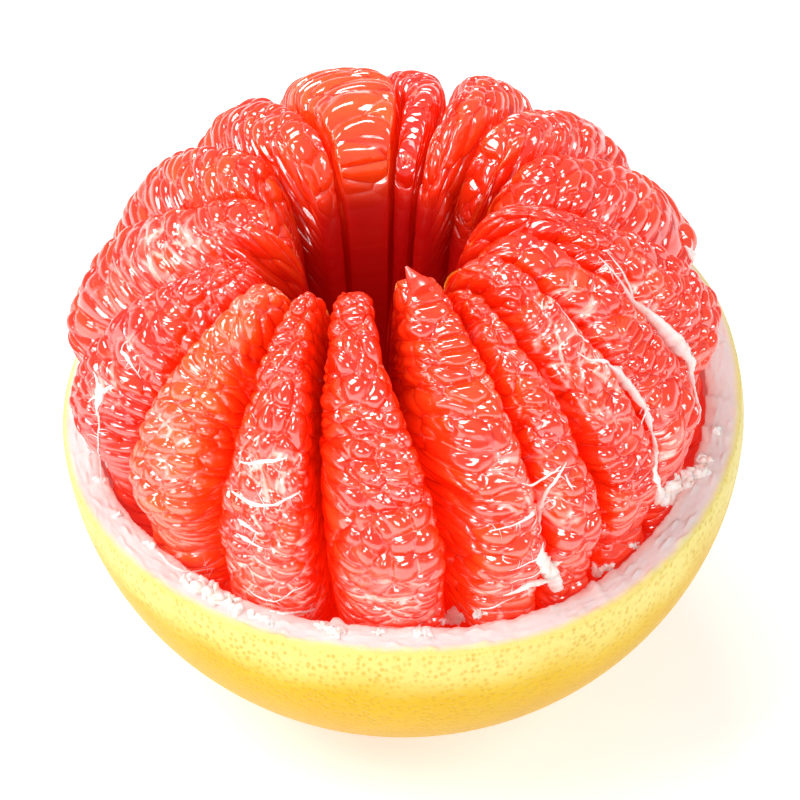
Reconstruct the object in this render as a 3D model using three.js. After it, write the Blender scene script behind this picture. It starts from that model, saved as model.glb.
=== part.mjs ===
// A peeled red pomelo, opened like a flower: the lower half of its thick peel is left as a bowl, and seventeen
// skinned segments stand in it round the empty core. Millimetres, +Z up, the origin at the middle of the flat
// spot that the peel rests on. -Y is the front. Heights above the fruit's middle are called "rise".
import * as THREE from "three";

// Peel
const peelRadius = 78; // outside, at the fruit's middle
const peelHalfHeight = 75; // outside, middle to pole
const middleHeight = 73; // the fruit's middle above the flat spot, which cuts the lower pole off
const lowerFullness = 1.94; // below the middle: 2 would be a spheroid, and less is slimmer
const upperFullness = 1.75; // where the rim curls in
const rindAtRim = 7.5; // yellow skin and white pith together
const rindAtBase = 9;
const rimRise = 0; // the cut edge, on the front and the left
const rimLift = 13; // how much higher the cut runs on the right
const rimLiftAzimuth = 22;
const rimLiftSpread = 52; // degrees to either side in which the lift fades out
const rimTear = 0.7; // ragged pith along the cut

// Flesh
const fleshRadius = 78; // the segments bulge over the rim once the peel no longer holds them
const fleshHalfHeight = 77;
const bulgeOver = 20; // rise above the rim at which the bulge is full
const clearance = 0.9; // flesh to pith, all over
const coreX = -4.5; // the empty core is not quite on the fruit's axis
const coreY = -8;
const coreRadiusBelow = 7;
const profileCentre = 38; // radius from which a segment's outline is drawn
const crownDirection = 107; // degrees, where its upper tip is seen from that centre
const footDirection = -105;
const cornerPower = 3.6; // the lower, the rounder the corner between outer face and core

// Segments, anticlockwise from the front. edge: azimuth at the rim, in degrees, of the side that each has
// clockwise of it. lean: how far that side turns on its way in to the core. gap and split: the clear width along it,
// in mm, at the middle and what the crown adds. core: distance of the crown's inner end from the core's middle.
// crown: size of the outline above the rim. bulge: how far it leans out over the rim. square: 0 for a round back,
// and more where a neighbour still sticks to it and keeps its back wide.
const segments = [
  { edge: -103.5, lean: -12, gap: 0.7, split: 0.8, core: 20, crown: 0.965, bulge: 0.0, square: 0.1 },
  { edge: -77, lean: -14, gap: 1.0, split: 3.6, core: 16, crown: 0.97, bulge: 0.0, square: 0.2 },
  { edge: -63, lean: -3, gap: 0.7, split: 0.1, core: 24, crown: 0.98, bulge: 0.0, square: 0.12 },
  { edge: -51, lean: -4, gap: 1.2, split: 0.8, core: 18, crown: 0.98, bulge: 0.0, square: 0.2 },
  { edge: -37, lean: 0, gap: 0.7, split: 0.1, core: 19, crown: 0.98, bulge: 0.0, square: 0.22 },
  { edge: -20, lean: 1, gap: 0.7, split: 0.1, core: 15, crown: 0.985, bulge: 2.0, square: 0.18 },
  { edge: 9, lean: -13, gap: 0.7, split: 0.1, core: 24, crown: 1.0, bulge: 0.5, square: 0.12 },
  { edge: 36, lean: -8, gap: 0.7, split: 0.1, core: 23, crown: 1.015, bulge: 0.0, square: 0.12 },
  { edge: 57, lean: -9, gap: 0.7, split: 0.1, core: 15, crown: 1.02, bulge: 0.0, square: 0.12 },
  { edge: 88, lean: -20, gap: 0.7, split: 0.3, core: 15, crown: 1.01, bulge: 0.0, square: 0.1 },
  { edge: 103, lean: -18, gap: 0.7, split: 0.3, core: 13, crown: 1.03, bulge: 0.0, square: 0.12 },
  { edge: 116, lean: 10, gap: 0.7, split: 0.5, core: 14, crown: 1.02, bulge: 0.0, square: 0.12 },
  { edge: 137, lean: 15, gap: 0.7, split: 0.1, core: 22, crown: 1.005, bulge: 1.0, square: 0.1 },
  { edge: 161, lean: 16, gap: 0.7, split: 0.1, core: 18, crown: 0.985, bulge: 3.0, square: 0.12 },
  { edge: 185, lean: 19, gap: 0.7, split: 0.1, core: 30, crown: 0.97, bulge: 4.0, square: 0.12 },
  { edge: 210, lean: 8, gap: 0.8, split: 0.1, core: 30, crown: 0.975, bulge: 2.0, square: 0.1 },
  { edge: 231, lean: 0, gap: 0.8, split: 0.3, core: 25, crown: 0.965, bulge: 0.0, square: 0.1 },
];

// Relief and meshing
const sacDepth = 1.8; // the juice sacs' crests over the creases between them
const sacColumns = 18; // a multiple of three, so the pattern of crests closes
const sacRows = 26;
const crownCrowding = 1.5; // above 1, the rows crowd towards the crown
const outerShare = 0.29; // of half a section's points, the share on the round outer face
const sideShare = 0.17; // and on the flat side
const peelColumns = 48;
const peelRows = 7;

const degree = Math.PI / 180;
const mix = (a, b, share) => a + (b - a) * share;
const smooth = (low, high, x) => {
  const share = Math.min(1, Math.max(0, (x - low) / (high - low)));
  return share * share * (3 - 2 * share);
};

// Rise of the peel's cut edge at an azimuth in degrees.
function rimRiseAt(azimuth) {
  const away = ((azimuth - rimLiftAzimuth + 540) % 360) - 180;
  const lift = rimLift * Math.exp(-((away / rimLiftSpread) ** 2));
  const waves = 0.8 * Math.sin(3 * azimuth * degree + 1) + 0.5 * Math.sin(7 * azimuth * degree);
  return rimRise + lift + waves;
}

// Radius at a rise of a round body about the fruit's axis. A power of 2 makes it a spheroid.
function bodyRadius(radius, halfHeight, rise, power) {
  return radius * Math.max(0, 1 - Math.abs(rise / halfHeight) ** power) ** (1 / power);
}

// Radius at a rise of the peel's outside, or of a wall that runs within it.
function wallRadius(radius, halfHeight, rise) {
  return bodyRadius(radius, halfHeight, rise, rise < 0 ? lowerFullness : upperFullness);
}

// Radius of a segment's outer face at a rise: close inside the pith below the rim, and bulging above it.
function fleshRadiusAt(rise, rim, segment) {
  const inside = wallRadius(
    peelRadius - rindAtRim - clearance,
    peelHalfHeight - rindAtBase - clearance,
    rise,
  );
  const outside = bodyRadius(
    fleshRadius * segment.crown + segment.bulge,
    fleshHalfHeight * segment.crown,
    rise,
    2,
  );
  return mix(inside, outside, smooth(rim - 1, rim + bulgeOver, rise));
}

// One point of a segment's outline, as [radius, rise], seen from profileCentre in a direction in degrees.
function outlinePoint(direction, rim, segment) {
  const across = Math.cos(direction * degree);
  const up = Math.sin(direction * degree);
  let near = 0;
  let far = 2 * peelRadius;
  for (let step = 0; step < 40; step++) {
    const reach = (near + far) / 2;
    const isInside =
      Math.abs(profileCentre + reach * across) < fleshRadiusAt(reach * up, rim, segment);
    if (isInside) near = reach;
    else far = reach;
  }
  // The inner edge is a straight line from the core's foot to its wider mouth.
  const flare = (segment.core - coreRadiusBelow) / (2 * fleshHalfHeight);
  const coreAtMiddle = (segment.core + coreRadiusBelow) / 2;
  const closing = -across + flare * up;
  const toCore = closing > 0 ? (profileCentre - coreAtMiddle) / closing : Infinity;
  const reach = (near ** -cornerPower + toCore ** -cornerPower) ** (-1 / cornerPower);
  return [profileCentre + reach * across, reach * up];
}

// A point on a tapered round-ended section, as [distance from its inner end, sideways]. share runs once round it from
// the middle of the outer end. sunk sets the point in from the skin, and less where the section is thin.
function sectionPoint(share, section, square, sunk) {
  const { length, innerRound, outerRound } = section;
  const half = share <= 0.5 ? share : 1 - share;
  const side = share <= 0.5 ? 1 : -1;
  const outerCentre = length - outerRound;
  const taper = Math.asin((outerRound - innerRound) / (outerCentre - innerRound));
  const turn = Math.PI / 2 + taper;
  const onOuter = (angle) => {
    const full = 1 + square * Math.max(0, Math.sin(2 * angle)) ** 2;
    const reach = outerRound * full - Math.min(sunk, 0.4 * outerRound);
    return [outerCentre + reach * Math.cos(angle), reach * Math.sin(angle)];
  };
  const onInner = (angle) => {
    const reach = innerRound - Math.min(sunk, 0.4 * innerRound);
    return [innerRound + reach * Math.cos(angle), reach * Math.sin(angle)];
  };
  let point;
  if (half <= outerShare) {
    point = onOuter((half / outerShare) * turn);
  } else if (half <= outerShare + sideShare) {
    const along = (half - outerShare) / sideShare;
    const from = onOuter(turn);
    const to = onInner(turn);
    point = [mix(from[0], to[0], along), mix(from[1], to[1], along)];
  } else {
    const along = (half - outerShare - sideShare) / (0.5 - outerShare - sideShare);
    point = onInner(mix(turn, Math.PI, along));
  }
  return [point[0], point[1] * side];
}

// Turns a place in a segment's own wedge into x, y, z. q runs from -1 on its right side to 1 on its left.
function place(radius, rise, q, segment, next) {
  const crowning = smooth(0, fleshHalfHeight, rise);
  const turning = smooth(-40, 30, rise) * (1 - smooth(25, 78, radius));
  const gapHere = (end) => (end.gap + end.split * crowning) / 2;
  const reach = Math.max(radius, 4);
  const from = (segment.edge + segment.lean * turning) * degree + gapHere(segment) / reach;
  const to = (next.edge + next.lean * turning) * degree - gapHere(next) / reach;
  const azimuth = mix(from, to, (q + 1) / 2);
  const toCore = (1 - smooth(0, fleshRadius, radius)) * smooth(-45, 15, rise);
  return new THREE.Vector3(
    radius * Math.cos(azimuth) + coreX * toCore,
    radius * Math.sin(azimuth) + coreY * toCore,
    middleHeight + rise,
  );
}

// The skin of one segment, as a function of how far along it is from crown to foot, how far round the section, and
// how deep below the skin.
function segmentSkin(index) {
  const segment = segments[index];
  const following = segments[(index + 1) % segments.length];
  const wraps = index + 1 === segments.length ? 360 : 0;
  const next = { ...following, edge: following.edge + wraps };
  const halfWedge = ((next.edge - segment.edge) / 2) * degree;
  const middle = (segment.edge + next.edge) / 2;
  const rim = Math.max(...[segment.edge, middle, next.edge].map(rimRiseAt)) + 1;
  return (along, share, sunk) => {
    const outer = outlinePoint(mix(crownDirection, footDirection, along), rim, segment);
    const inner = outlinePoint(mix(crownDirection, footDirection + 360, along), rim, segment);
    const span = [outer[0] - inner[0], outer[1] - inner[1]];
    const length = Math.hypot(...span);
    if (length < 1e-6) return place(outer[0], outer[1], 0, segment, next);
    const [across, up] = [span[0] / length, span[1] / length];
    const sine = Math.sin(halfWedge);
    const outerRound = Math.min((sine * outer[0]) / (1 + sine * across), 0.42 * length);
    const innerRound = Math.min((sine * inner[0]) / (1 - sine * across), 0.42 * length);
    const section = { length, innerRound, outerRound };
    const [depth, sideways] = sectionPoint(share, section, segment.square, sunk);
    const radius = inner[0] + across * depth;
    const q = Math.atan2(sideways, radius) / halfWedge;
    return place(radius, inner[1] + up * depth, q, segment, next);
  };
}

// Closes rows of points into a skin between a first and a last point. With stagger, odd rows sit half a step on.
function skinGeometry(first, rows, last, stagger) {
  const columns = rows[0].length;
  const points = [first, ...rows.flat(), last];
  const at = (row, column) => 1 + row * columns + ((column + columns) % columns);
  const faces = [];
  for (let column = 0; column < columns; column++) {
    faces.push(0, at(0, column), at(0, column + 1));
    for (let row = 0; row + 1 < rows.length; row++) {
      const [a, b] = [at(row, column), at(row, column + 1)];
      const [c, d] = [at(row + 1, column), at(row + 1, column + 1)];
      if (stagger && row % 2 === 1) faces.push(a, c, d, a, d, b);
      else faces.push(a, c, b, b, c, d);
    }
    faces.push(at(rows.length - 1, column + 1), at(rows.length - 1, column), points.length - 1);
  }
  const positions = new Float32Array(points.flatMap((point) => [point.x, point.y, point.z]));
  const geometry = new THREE.BufferGeometry();
  geometry.setAttribute("position", new THREE.BufferAttribute(positions, 3));
  geometry.setIndex(faces);
  geometry.computeVertexNormals();
  return geometry;
}

// One segment with its juice sacs: every third point is a crest, and the six round it are sunk into the flesh.
function segmentGeometry(index) {
  const skin = segmentSkin(index);
  const step = 0.5 / sacColumns;
  const rows = [];
  for (let row = 0; row < sacRows; row++) {
    const along = ((row + 1) / (sacRows + 1)) ** crownCrowding;
    const ends = Math.min(1, 5 * along, 5 * (1 - along));
    const points = [];
    for (let column = 0; column < sacColumns; column++) {
      const share = (column / sacColumns + (row % 2) * step) % 1;
      const isCrest = (column - Math.floor((3 * row) / 2) + 3 * sacRows) % 3 === 0;
      const unevenness = 0.75 + 0.25 * Math.sin(3.1 * row + 5.3 * column + 2 * index);
      points.push(skin(along, share, isCrest ? 0 : sacDepth * unevenness * ends));
    }
    rows.push(points);
  }
  return skinGeometry(skin(0, 0, 0), rows, skin(1, 0, 0), true);
}

// The half peel: one bowl with a flat spot below, a ragged cut edge, and the pith's hollow inside.
function peelGeometry() {
  const innerRadius = peelRadius - rindAtRim;
  const innerHalfHeight = peelHalfHeight - rindAtBase;
  const rows = [];
  const addRow = (pointAt) => {
    const points = [];
    for (let column = 0; column < peelColumns; column++) {
      const azimuth = -(column / peelColumns) * 360;
      const [radius, rise] = pointAt(azimuth);
      points.push(
        new THREE.Vector3(
          radius * Math.cos(azimuth * degree),
          radius * Math.sin(azimuth * degree),
          middleHeight + rise,
        ),
      );
    }
    rows.push(points);
  };
  const tear = (azimuth) => rimTear * Math.sin(1.7 * azimuth) * Math.cos(0.31 * azimuth);
  for (let row = 0; row <= peelRows; row++) {
    addRow((azimuth) => {
      const low = Math.asin(-middleHeight / peelHalfHeight);
      const high = Math.asin(rimRiseAt(azimuth) / peelHalfHeight);
      const rise = peelHalfHeight * Math.sin(mix(low, high, row / peelRows));
      return [wallRadius(peelRadius, peelHalfHeight, rise), rise];
    });
  }
  addRow((azimuth) => {
    const rise = rimRiseAt(azimuth) + 0.4 + 0.5 * tear(azimuth);
    return [wallRadius(peelRadius, peelHalfHeight, rise) - rindAtRim / 2, rise];
  });
  for (let row = 0; row < peelRows; row++) {
    addRow((azimuth) => {
      const edge = rimRiseAt(azimuth) + 0.6 + tear(azimuth + 40);
      const angle = mix(Math.asin(edge / innerHalfHeight), -Math.PI / 2, row / peelRows);
      const rise = innerHalfHeight * Math.sin(angle);
      return [wallRadius(innerRadius, innerHalfHeight, rise), rise];
    });
  }
  const below = new THREE.Vector3(0, 0, 0);
  const floor = new THREE.Vector3(0, 0, middleHeight - innerHalfHeight);
  return skinGeometry(below, rows, floor, false);
}

const zest = new THREE.MeshStandardMaterial({ color: 0xf6d24a, roughness: 0.45, metalness: 0 });
const flesh = new THREE.MeshStandardMaterial({ color: 0xf0483a, roughness: 0.2, metalness: 0 });

const pomelo = new THREE.Group();

const peel = new THREE.Mesh(peelGeometry(), zest);
peel.name = "peel";
pomelo.add(peel);

segments.forEach((segment, index) => {
  const mesh = new THREE.Mesh(segmentGeometry(index), flesh);
  mesh.name = `segment_${String(index + 1).padStart(2, "0")}`;
  pomelo.add(mesh);
});

export default pomelo;
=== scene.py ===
import math
import random
import bpy
import numpy as np
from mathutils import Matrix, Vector, noise
from mathutils.bvhtree import BVHTree


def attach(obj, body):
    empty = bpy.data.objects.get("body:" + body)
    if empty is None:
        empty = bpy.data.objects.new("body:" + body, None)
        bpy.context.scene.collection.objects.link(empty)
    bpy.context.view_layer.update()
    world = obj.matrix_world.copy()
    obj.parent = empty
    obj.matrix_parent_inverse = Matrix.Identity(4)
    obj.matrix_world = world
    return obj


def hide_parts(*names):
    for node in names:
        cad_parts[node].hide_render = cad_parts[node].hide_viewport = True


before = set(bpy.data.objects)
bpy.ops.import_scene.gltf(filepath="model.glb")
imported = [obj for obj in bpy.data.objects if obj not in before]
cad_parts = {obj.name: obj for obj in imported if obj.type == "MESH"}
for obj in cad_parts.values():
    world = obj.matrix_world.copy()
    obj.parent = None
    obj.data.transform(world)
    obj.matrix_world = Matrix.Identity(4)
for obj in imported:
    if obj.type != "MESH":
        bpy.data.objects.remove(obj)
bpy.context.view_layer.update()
millimetre = 0.001
# the photograph's own view: degrees above the horizon, metres from the fruit's middle, millimetres of lens
# and sensor, shares of the picture that the lens is shifted by, and pixels along the picture's side
view = {
    "elevation": 44.0, "distance": 0.8, "lens": 156.9, "sensor": 36.0,
    "shiftX": -0.00375, "shiftY": 0.00625, "pixels": 800,
}
print("frame loaded:", len(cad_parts), "nodes")


# sums on sockets

class Value:
    # one output socket, so that sums on it read as Python and add the nodes that work them out
    def __init__(self, net, socket):
        self.net = net
        self.socket = socket

    def __add__(self, other):
        return self.net.sum("ADD", self, other)

    def __radd__(self, other):
        return self.net.sum("ADD", other, self)

    def __sub__(self, other):
        return self.net.sum("SUBTRACT", self, other)

    def __rsub__(self, other):
        return self.net.sum("SUBTRACT", other, self)

    def __mul__(self, other):
        return self.net.sum("MULTIPLY", self, other)

    def __rmul__(self, other):
        return self.net.sum("MULTIPLY", other, self)


class Net:
    # adds nodes to one tree, of a material or of Geometry Nodes
    def __init__(self, tree):
        self.tree = tree
        tree.nodes.clear()

    def node(self, kind, settings=None, sockets=None):
        made = self.tree.nodes.new(kind)
        for name, setting in (settings or {}).items():
            if name == "stops":
                self.setStops(made.color_ramp, setting)
            else:
                setattr(made, name, setting)
        for name, given in (sockets or {}).items():
            self.feed(made.inputs[name], given)
        return made

    def value(self, kind, settings=None, sockets=None, output=0):
        return self.output(self.node(kind, settings, sockets), output)

    def output(self, made, name=0):
        return Value(self, made.outputs[name])

    def feed(self, socket, given):
        if isinstance(given, Value):
            self.tree.links.new(given.socket, socket)
        else:
            socket.default_value = given

    def setStops(self, ramp, stops):
        while len(ramp.elements) < len(stops):
            ramp.elements.new(1)
        for element, (place, colour) in zip(ramp.elements, stops):
            element.position = place
            element.color = (*colour, 1)

    def sum(self, operation, first, second):
        both = (first, second)
        isVector = any(isinstance(v, Value) and v.socket.type in ("VECTOR", "RGBA") for v in both)
        kind = "ShaderNodeVectorMath" if isVector else "ShaderNodeMath"
        if isVector:
            first, second = (v if isinstance(v, Value) or np.ndim(v) else (v, v, v) for v in both)
        return self.value(kind, {"operation": operation}, {0: first, 1: second})

    def most(self, first, second):
        return self.sum("MAXIMUM", first, second)

    def scaled(self, vector, scale):
        return self.value("ShaderNodeVectorMath", {"operation": "SCALE"}, {0: vector, "Scale": scale})

    def dot(self, first, second):
        settings = {"operation": "DOT_PRODUCT"}
        return self.value("ShaderNodeVectorMath", settings, {0: first, 1: second}, "Value")

    def along(self, vector, axis):
        return self.value("ShaderNodeSeparateXYZ", {}, {0: vector}, axis)

    def step(self, low, high, given):
        return self.value("ShaderNodeMapRange", {"interpolation_type": "SMOOTHSTEP"},
                          {"Value": given, "From Min": low, "From Max": high})

    def blend(self, share, first, second, mode="MIX"):
        # colours: the Mix node's colour sockets are its seventh and eighth
        asColour = lambda given: (*given, 1) if isinstance(given, tuple) and len(given) == 3 else given
        return self.value("ShaderNodeMix", {"data_type": "RGBA", "blend_type": mode, "clamp_factor": True},
                          {0: share, 6: asColour(first), 7: asColour(second)}, 2)

    def attribute(self, name, output="Fac"):
        # in a material
        return self.value("ShaderNodeAttribute", {"attribute_name": name}, {}, output)

    def named(self, name, kind="FLOAT"):
        # an attribute in Geometry Nodes
        settings = {"data_type": kind}
        return self.value("GeometryNodeInputNamedAttribute", settings, {"Name": name}, "Attribute")

    def grain(self, vector, scale, detail=2.0, output="Fac", **more):
        sockets = {"Vector": vector, "Scale": scale, "Detail": detail, **more}
        return self.value("ShaderNodeTexNoise", {}, sockets, output)

    def cells(self, vector, scale, feature="F1", randomness=1.0):
        sockets = {"Vector": vector, "Scale": scale, "Randomness": randomness}
        return self.node("ShaderNodeTexVoronoi", {"feature": feature}, sockets)

    def bump(self, height, strength, distance):
        sockets = {"Height": height, "Strength": strength, "Distance": distance}
        return self.value("ShaderNodeBump", {}, sockets, "Normal")

    def fleshy(self, sockets):
        # light goes into fruit, pith and membrane and comes out beside
        return self.node("ShaderNodeBsdfPrincipled", {"subsurface_method": "RANDOM_WALK"}, sockets)


# the fruit's form, by the same rules as its solids: millimetres, and rises above the fruit's middle

peelForm = {
    "radius": 78.0, "halfHeight": 75.0, "middleHeight": 73.0,
    "lowerFullness": 1.94, "upperFullness": 1.75,
    "rindAtRim": 7.5, "rindAtBase": 9.0,
    "rimRise": 0.0, "rimLift": 13.0, "rimLiftAzimuth": 22.0, "rimLiftSpread": 52.0,
}
fleshForm = {
    "radius": 78.0, "halfHeight": 77.0, "bulgeOver": 20.0, "clearance": 0.9,
    "coreX": -4.5, "coreY": -8.0, "coreRadiusBelow": 7.0,
    "profileCentre": 38.0, "crownDirection": 107.0, "footDirection": -105.0, "cornerPower": 3.6,
    "mostRound": 0.42,  # of a section's length, for the radius of either end
}
# anticlockwise from the front: azimuth of the right side, its turn on the way in, gap, what the crown adds
# to the gap, distance from the core, size of the crown, lean over the rim, squareness of the back
formNames = ("edge", "lean", "gap", "split", "core", "crown", "bulge", "square")
segmentForms = [dict(zip(formNames, row)) for row in (
    (-103.5, -12, 0.7, 0.8, 20, 0.965, 0.0, 0.1),
    (-77, -14, 1.0, 3.6, 16, 0.97, 0.0, 0.2),
    (-63, -3, 0.7, 0.1, 24, 0.98, 0.0, 0.12),
    (-51, -4, 1.2, 0.8, 18, 0.98, 0.0, 0.2),
    (-37, 0, 0.7, 0.1, 19, 0.98, 0.0, 0.22),
    (-20, 1, 0.7, 0.1, 15, 0.985, 2.0, 0.18),
    (9, -13, 0.7, 0.1, 24, 1.0, 0.5, 0.12),
    (36, -8, 0.7, 0.1, 23, 1.015, 0.0, 0.12),
    (57, -9, 0.7, 0.1, 15, 1.02, 0.0, 0.12),
    (88, -20, 0.7, 0.3, 15, 1.01, 0.0, 0.1),
    (103, -18, 0.7, 0.3, 13, 1.03, 0.0, 0.12),
    (116, 10, 0.7, 0.5, 14, 1.02, 0.0, 0.12),
    (137, 15, 0.7, 0.1, 22, 1.005, 1.0, 0.1),
    (161, 16, 0.7, 0.1, 18, 0.985, 3.0, 0.12),
    (185, 19, 0.7, 0.1, 30, 0.97, 4.0, 0.12),
    (210, 8, 0.8, 0.1, 30, 0.975, 2.0, 0.1),
    (231, 0, 0.8, 0.3, 25, 0.965, 0.0, 0.1),
)]


def mix(first, second, share):
    return first + (second - first) * share


def smooth(low, high, x):
    share = np.clip((x - low) / (high - low), 0, 1)
    return share * share * (3 - 2 * share)


def rimRiseAt(azimuth):
    away = (azimuth - peelForm["rimLiftAzimuth"] + 540) % 360 - 180
    lift = peelForm["rimLift"] * np.exp(-(away / peelForm["rimLiftSpread"]) ** 2)
    waves = 0.8 * np.sin(3 * np.radians(azimuth) + 1) + 0.5 * np.sin(7 * np.radians(azimuth))
    return peelForm["rimRise"] + lift + waves


def bodyRadius(radius, halfHeight, rise, power):
    return radius * np.maximum(0, 1 - np.abs(rise / halfHeight) ** power) ** (1 / power)


def wallRadius(radius, halfHeight, rise):
    below = bodyRadius(radius, halfHeight, rise, peelForm["lowerFullness"])
    return np.where(rise < 0, below, bodyRadius(radius, halfHeight, rise, peelForm["upperFullness"]))


def fleshRadiusAt(rise, rim, form):
    inside = wallRadius(peelForm["radius"] - peelForm["rindAtRim"] - fleshForm["clearance"],
                        peelForm["halfHeight"] - peelForm["rindAtBase"] - fleshForm["clearance"], rise)
    outside = bodyRadius(fleshForm["radius"] * form["crown"] + form["bulge"],
                         fleshForm["halfHeight"] * form["crown"], rise, 2)
    return mix(inside, outside, smooth(rim - 1, rim + fleshForm["bulgeOver"], rise))


def outlineAt(direction, rim, form):
    # radius and rise of a segment's outline, seen from its profile's centre in each direction in degrees
    centre = fleshForm["profileCentre"]
    across, up = np.cos(np.radians(direction)), np.sin(np.radians(direction))
    near, far = np.zeros_like(across), np.full_like(across, 2 * peelForm["radius"])
    for _ in range(40):
        reach = (near + far) / 2
        isInside = np.abs(centre + reach * across) < fleshRadiusAt(reach * up, rim, form)
        near, far = np.where(isInside, reach, near), np.where(isInside, far, reach)
    below = fleshForm["coreRadiusBelow"]
    flare = (form["core"] - below) / (2 * fleshForm["halfHeight"])
    closing = -across + flare * up
    toCore = np.where(closing > 0, (centre - (form["core"] + below) / 2) / np.maximum(closing, 1e-9), 1e9)
    power = fleshForm["cornerPower"]
    reach = (near ** -power + toCore ** -power) ** (-1 / power)
    return centre + reach * across, reach * up


def placeAt(radius, rise, q, form, following):
    # q runs from -1 on a segment's right side to 1 on its left
    crowning = smooth(0, fleshForm["halfHeight"], rise)
    turning = smooth(-40, 30, rise) * (1 - smooth(25, 78, radius))
    reach = np.maximum(radius, 4)
    gap = form["gap"] + form["split"] * crowning
    nextGap = following["gap"] + following["split"] * crowning
    start = np.radians(form["edge"] + form["lean"] * turning) + gap / 2 / reach
    end = np.radians(following["edge"] + following["lean"] * turning) - nextGap / 2 / reach
    azimuth = mix(start, end, (q + 1) / 2)
    toCore = (1 - smooth(0, fleshForm["radius"], radius)) * smooth(-45, 15, rise)
    return np.stack([radius * np.cos(azimuth) + fleshForm["coreX"] * toCore,
                     radius * np.sin(azimuth) + fleshForm["coreY"] * toCore,
                     peelForm["middleHeight"] + rise + 0 * azimuth], -1)


def segmentWedge(index):
    form = segmentForms[index]
    following = dict(segmentForms[(index + 1) % len(segmentForms)])
    if index + 1 == len(segmentForms):
        following["edge"] += 360
    middle = (form["edge"] + following["edge"]) / 2
    rim = max(rimRiseAt(a) for a in (form["edge"], middle, following["edge"])) + 1
    return form, following, rim


def skinAt(index, along, share):
    # points on a segment's skin: along runs from crown to foot, and share once round its section
    form, following, rim = segmentWedge(index)
    halfWedge = math.radians(following["edge"] - form["edge"]) / 2
    down, foot = fleshForm["crownDirection"], fleshForm["footDirection"]
    outerRadius, outerRise = outlineAt(mix(down, foot, along), rim, form)
    innerRadius, innerRise = outlineAt(mix(down, foot + 360, along), rim, form)
    spanAcross, spanUp = outerRadius - innerRadius, outerRise - innerRise
    length = np.maximum(np.hypot(spanAcross, spanUp), 1e-6)
    across, up = spanAcross / length, spanUp / length
    sine = math.sin(halfWedge)
    mostRound = fleshForm["mostRound"] * length
    outerRound = np.minimum(sine * outerRadius / (1 + sine * across), mostRound)
    innerRound = np.minimum(sine * innerRadius / (1 - sine * across), mostRound)
    outerCentre = length - outerRound
    turn = math.pi / 2 + np.arcsin((outerRound - innerRound) / (outerCentre - innerRound))
    half = np.where(share <= 0.5, share, 1 - share)
    side = np.where(share <= 0.5, 1.0, -1.0)
    outerShare, sideShare = sectionForm["outerShare"], sectionForm["sideShare"]

    def onOuter(angle):
        reach = outerRound * (1 + form["square"] * np.maximum(0, np.sin(2 * angle)) ** 2)
        return outerCentre + reach * np.cos(angle), reach * np.sin(angle)

    def onInner(angle):
        return innerRound + innerRound * np.cos(angle), innerRound * np.sin(angle)

    onBack = onOuter(np.minimum(half / outerShare, 1) * turn)
    start, end = onOuter(turn), onInner(turn)
    sideways = np.clip((half - outerShare) / sideShare, 0, 1) ** sectionForm["gather"]
    onSide = mix(start[0], end[0], sideways), mix(start[1], end[1], sideways)
    inward = np.clip((half - outerShare - sideShare) / (0.5 - outerShare - sideShare), 0, 1)
    onCore = onInner(mix(turn, math.pi, inward))
    isBack, isSide = half <= outerShare, half <= outerShare + sideShare
    depth = np.where(isBack, onBack[0], np.where(isSide, onSide[0], onCore[0]))
    width = np.where(isBack, onBack[1], np.where(isSide, onSide[1], onCore[1])) * side
    room = np.where(isBack, outerRound, np.where(isSide, mix(outerRound, innerRound, sideways), innerRound))
    radius, rise = innerRadius + across * depth, innerRise + up * depth
    q = np.arctan2(width, radius) / halfWedge
    return placeAt(radius, rise, q, form, following), depth, length - depth, width, room, rise, radius


# segments

# shares of a section's points on half its back and on one side, and how they gather towards the back
sectionForm = {"outerShare": 0.23, "sideShare": 0.23, "gather": 1.5}
segmentMesh = {"rows": 310, "columns": 144, "lowRowShare": 0.12, "lowRise": -10.0}
sacs = {
    "long": 4.4, "wide": 6.2, "deep": 13.0,  # one juice sac, in millimetres
    "lowLong": 3.2, "lowWide": 9.0,  # low on a segment they lie across it
    "crownLong": 7.0,  # by the crown they reach towards the core
    "relief": 1.0, "coreRelief": 0.2, "lowRelief": 0.6,  # they lie flatter round the core and low down
    "randomness": 0.85,
    "apart": 17.3,  # sacs between one segment's pattern and the next one's, so that no two are alike
}


def closedMesh(name, rows, first, last):
    # rows is an array of rings of points; the two ends close on a point each
    count, columns = rows.shape[:2]
    points = np.concatenate([rows.reshape(-1, 3), [first], [last]]) * millimetre
    ring = np.arange(columns)
    after = (ring + 1) % columns
    base = np.arange(count - 1)[:, None] * columns
    quads = np.stack([base + ring, base + ring + columns, base + after + columns, base + after], -1)
    quads = quads.reshape(-1, 4)
    ends = count * columns
    lowest = (count - 1) * columns
    top = np.stack([np.full(columns, ends), ring, after], -1)
    bottom = np.stack([np.full(columns, ends + 1), lowest + after, lowest + ring], -1)
    faces = [tuple(face) for part in (quads, top, bottom) for face in part.tolist()]
    mesh = bpy.data.meshes.new(name)
    mesh.from_pydata(points.tolist(), [], faces)
    mesh.polygons.foreach_set("use_smooth", [True] * len(mesh.polygons))
    return mesh


def setAttribute(mesh, name, values, kind="FLOAT"):
    layer = mesh.attributes.new(name, kind, "POINT")
    field = "vector" if kind == "FLOAT_VECTOR" else "value"
    layer.data.foreach_set(field, np.asarray(values, float).ravel())


def lowShare(rise):
    # 0 high on a segment and 1 low on it, where the sacs lie across it
    return smooth(25, -20, rise)


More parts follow.
